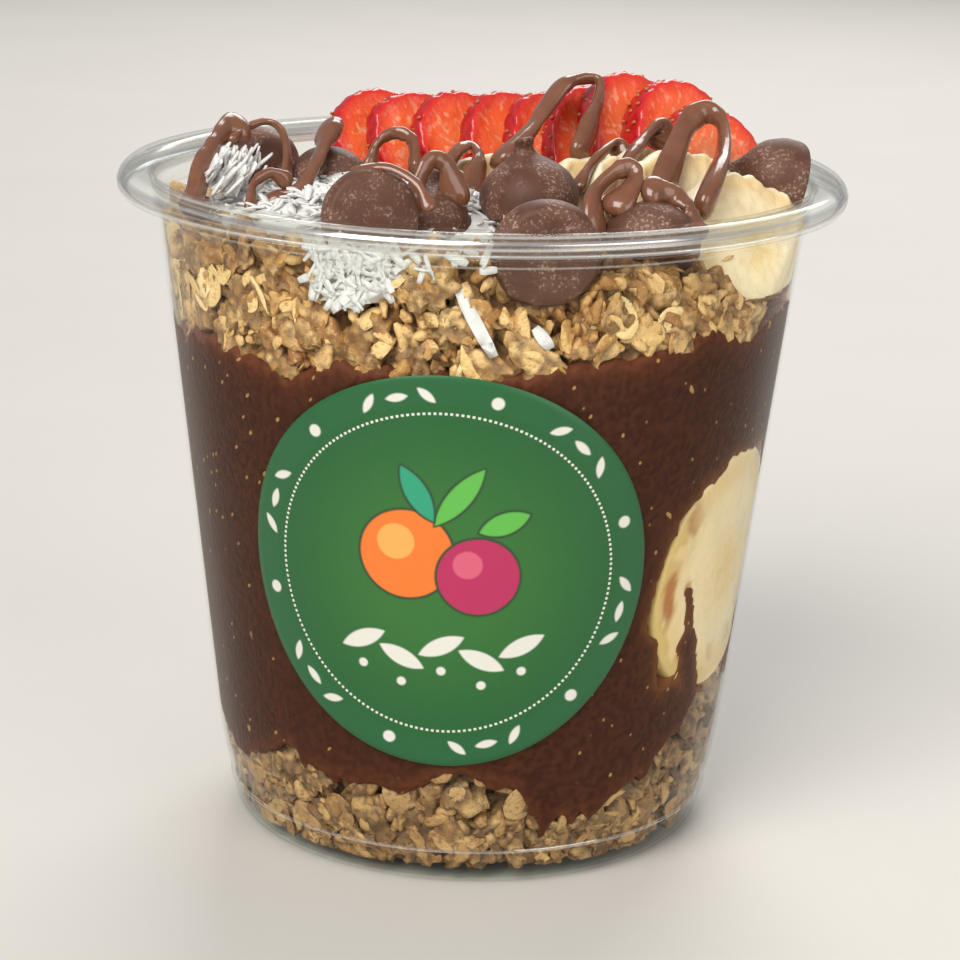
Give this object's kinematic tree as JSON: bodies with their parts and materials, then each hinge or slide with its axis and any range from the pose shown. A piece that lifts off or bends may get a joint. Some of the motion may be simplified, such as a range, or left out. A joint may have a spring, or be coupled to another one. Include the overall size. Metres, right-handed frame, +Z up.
{
  "type": "chocolate parfait",
  "caption": "Chocolate fruit parfait in a clear tapered cup: granola under and over a thick smoothie, topped with coconut, strawberry and banana slices, chocolate drops and drizzle.",
  "frame": {"origin": "centre of the cup's foot, on the surface it stands on", "axes": "+Z up; the sticker faces -Y; +X is to the right when looking at the sticker"},
  "size_m": [0.098, 0.098, 0.1035],
  "materials": {
    "clear_plastic": "clear, thin, glossy PET",
    "sticker_green": "satin printed paper, green with a white dotted ring",
    "granola": "matt baked oats, golden tan",
    "smoothie": "dark maroon-brown, smooth against the wall, faint pebbling",
    "banana": "moist cut fruit, pale cream",
    "coconut": "matt white shreds",
    "chocolate": "satin dark chocolate with faint bloom",
    "drizzle": "glossy milk-chocolate hazelnut sauce",
    "strawberry": "moist cut fruit, orange-red faces, pink-red edges"
  },
  "bodies": {
    "root": {"cup": "clear_plastic", "sticker": "sticker_green", "granola_bottom": "granola", "smoothie": "smoothie", "banana_side_1": "banana", "banana_side_2": "banana", "granola_top": "granola", "coconut": "coconut", "banana_slice_1": "banana", "banana_slice_2": "banana", "banana_slice_3": "banana", "banana_slice_4": "banana", "banana_slice_5": "banana", "strawberry_slice_1": "strawberry", "strawberry_slice_2": "strawberry", "strawberry_slice_3": "strawberry", "strawberry_slice_4": "strawberry", "strawberry_slice_5": "strawberry", "strawberry_slice_6": "strawberry", "strawberry_slice_7": "strawberry", "strawberry_slice_8": "strawberry", "strawberry_slice_9": "strawberry", "drop_front_wall": "chocolate", "drop_front_left": "chocolate", "drop_left_mid": "chocolate", "drop_kiss": "chocolate", "drop_front_right": "chocolate", "drop_right_rim": "chocolate", "drop_back_left": "chocolate", "drop_left_inner": "chocolate"}
  },
  "joints": []
}
